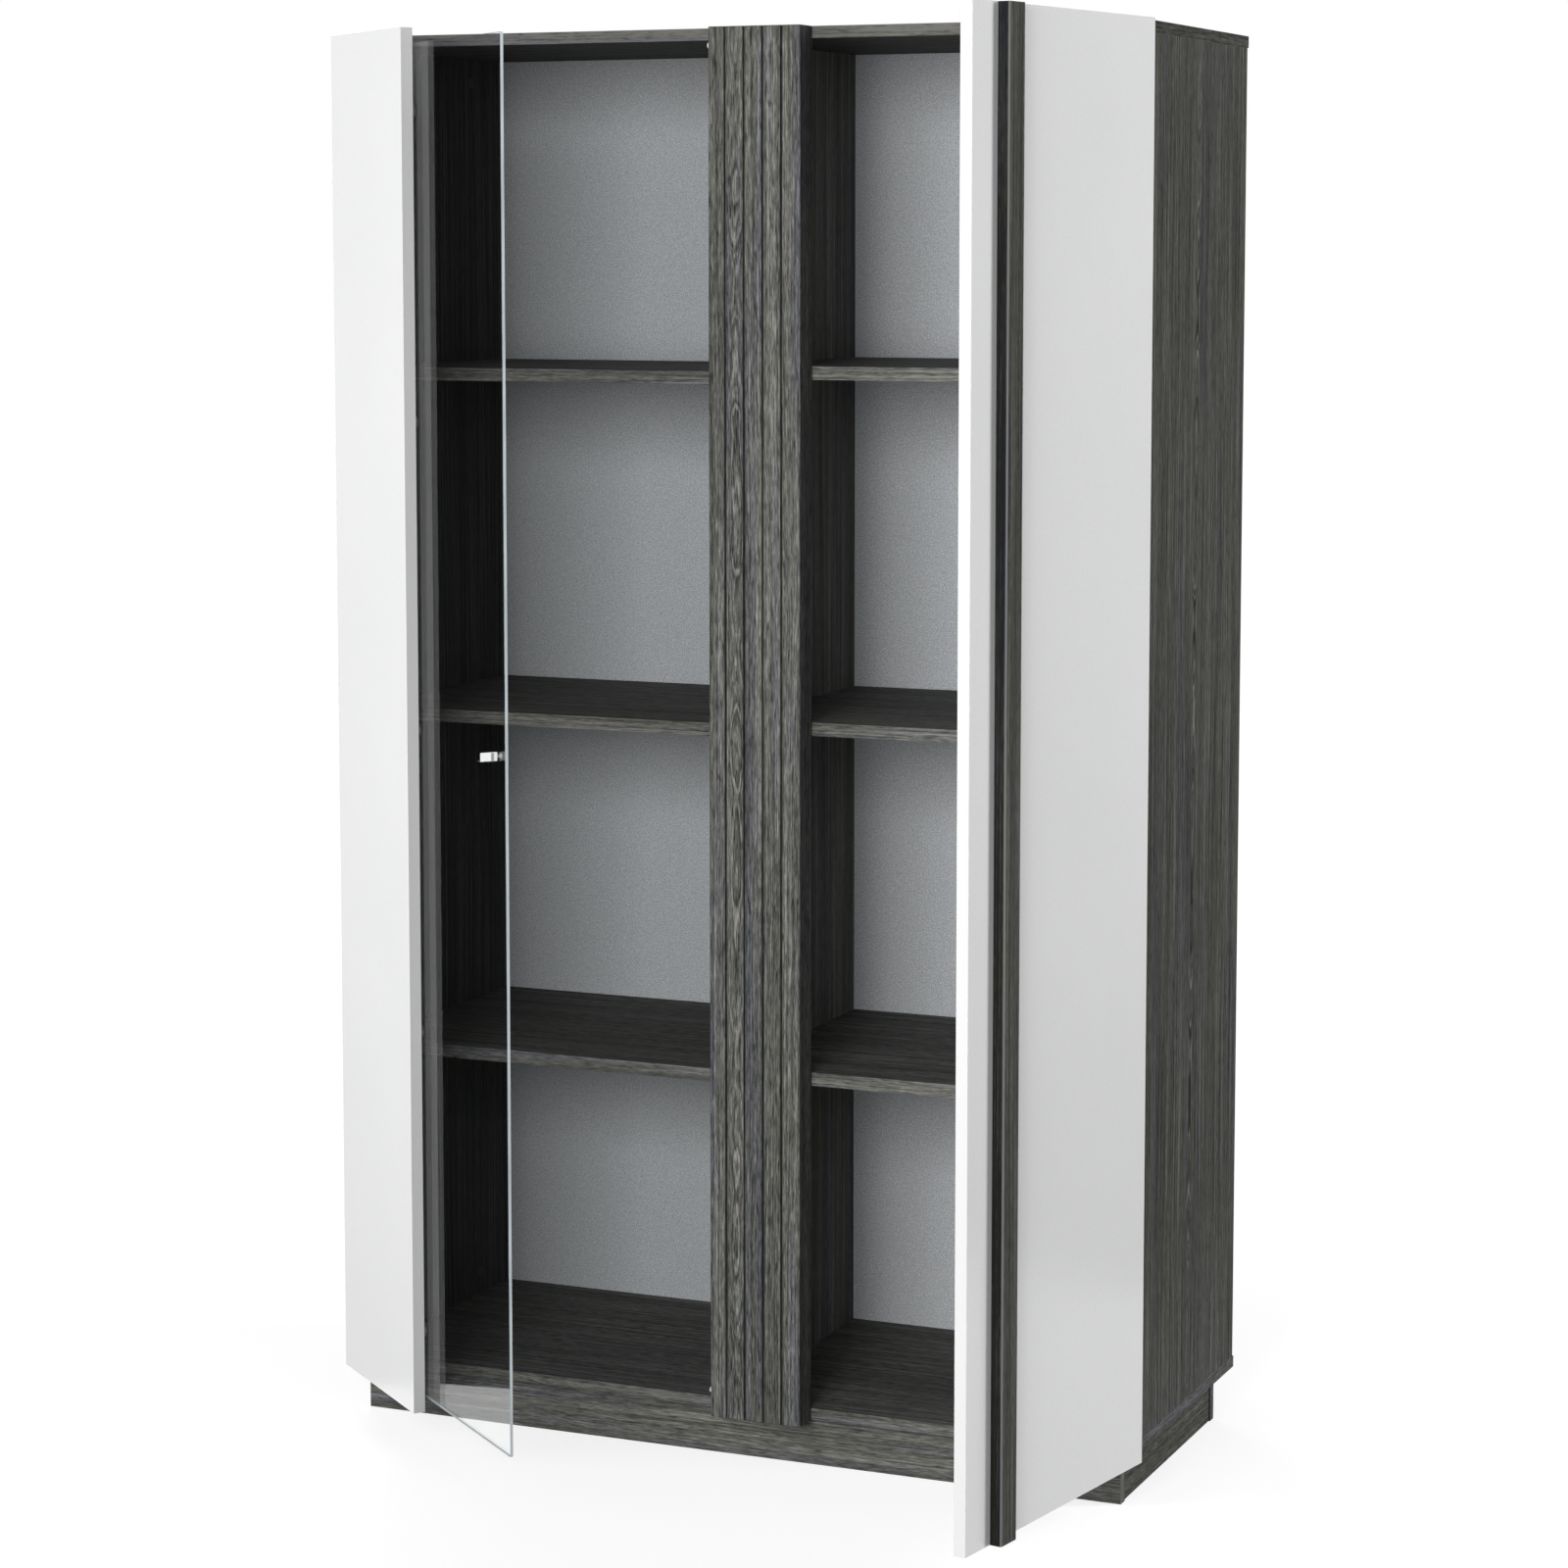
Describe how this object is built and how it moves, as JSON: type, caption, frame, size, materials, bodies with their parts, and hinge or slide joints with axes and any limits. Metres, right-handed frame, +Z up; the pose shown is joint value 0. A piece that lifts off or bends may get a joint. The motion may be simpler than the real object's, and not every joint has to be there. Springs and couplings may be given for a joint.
{
  "type": "bookcase with glass door",
  "caption": "Tall two-bay bookcase with shelves, a fluted centre post, a plain door with a dark bar, and a door that carries a frameless glass pane with a knob.",
  "frame": {"origin": "on the floor, at the middle of the plinth's footprint, on the underside of the plinth's centre board", "axes": "+Z up, +Y towards the rear, +X to the cabinet's right as seen from the front; at rest both doors stand part open"},
  "size_m": [1.1885, 0.9231, 1.945],
  "materials": {
    "dark_board": "matt dark grey-brown woodgrain laminate on chipboard",
    "grey_back": "light grey lacquered thin fibreboard",
    "white_gloss": "white high-gloss faced chipboard",
    "glass": "clear polished float glass",
    "raw_wood": "raw beech and softwood",
    "chrome": "polished chrome plate",
    "steel": "zinc and nickel plated steel",
    "pale_plastic": "off-white moulded plastic",
    "soft_rubber": "translucent soft buffer"
  },
  "bodies": {
    "carcass": {"back_joint_strip": "pale_plastic", "back_left": "grey_back", "back_right": "grey_back", "bottom_panel": "dark_board", "cam_bolts": "steel", "cam_locks": "steel", "carcass_dowels": "raw_wood", "centre_divider": "dark_board", "fluted_post": "dark_board", "glass_stops": "pale_plastic", "left_hinge_pins": "steel", "left_hinge_side_leaves": "steel", "left_hinge_side_screws": "steel", "left_side": "dark_board", "plinth_back": "dark_board", "plinth_block_screws": "steel", "plinth_blocks": "raw_wood", "plinth_centre": "dark_board", "plinth_front": "dark_board", "plinth_left": "dark_board", "plinth_right": "dark_board", "post_dowels": "raw_wood", "right_hinge_pins": "steel", "right_hinge_side_leaves": "steel", "right_hinge_side_screws": "steel", "right_side": "dark_board", "shelf_left_1": "dark_board", "shelf_left_2": "dark_board", "shelf_left_3": "dark_board", "shelf_pins_left": "steel", "shelf_pins_right": "steel", "shelf_right_1": "dark_board", "shelf_right_2": "dark_board", "shelf_right_3": "dark_board", "top_panel": "dark_board"},
    "left_door": {"left_door_panel": "white_gloss", "left_door_glass": "glass", "glass_spacers": "pale_plastic", "glass_caps": "chrome", "glass_screws": "steel", "glass_knob": "chrome", "knob_gasket": "soft_rubber", "knob_screw": "steel", "left_door_bumpers": "soft_rubber", "left_hinge_door_leaves": "steel", "left_hinge_door_screws": "steel"},
    "right_door": {"right_door_panel": "white_gloss", "right_door_bar": "dark_board", "bar_screws": "steel", "right_door_bumpers": "soft_rubber", "right_hinge_door_leaves": "steel", "right_hinge_door_screws": "steel"}
  },
  "joints": [
    {"name": "left_door_hinge", "type": "hinge", "parent": "carcass", "child": "left_door", "pos_m": [-0.58, -0.2182, 1.005], "axis": [0, 0, -1], "range_deg": [-40.4, 129.6]},
    {"name": "right_door_hinge", "type": "hinge", "parent": "carcass", "child": "right_door", "pos_m": [0.58, -0.2182, 1.005], "axis": [0, 0, 1], "range_deg": [-79.7, 90.3]}
  ]
}
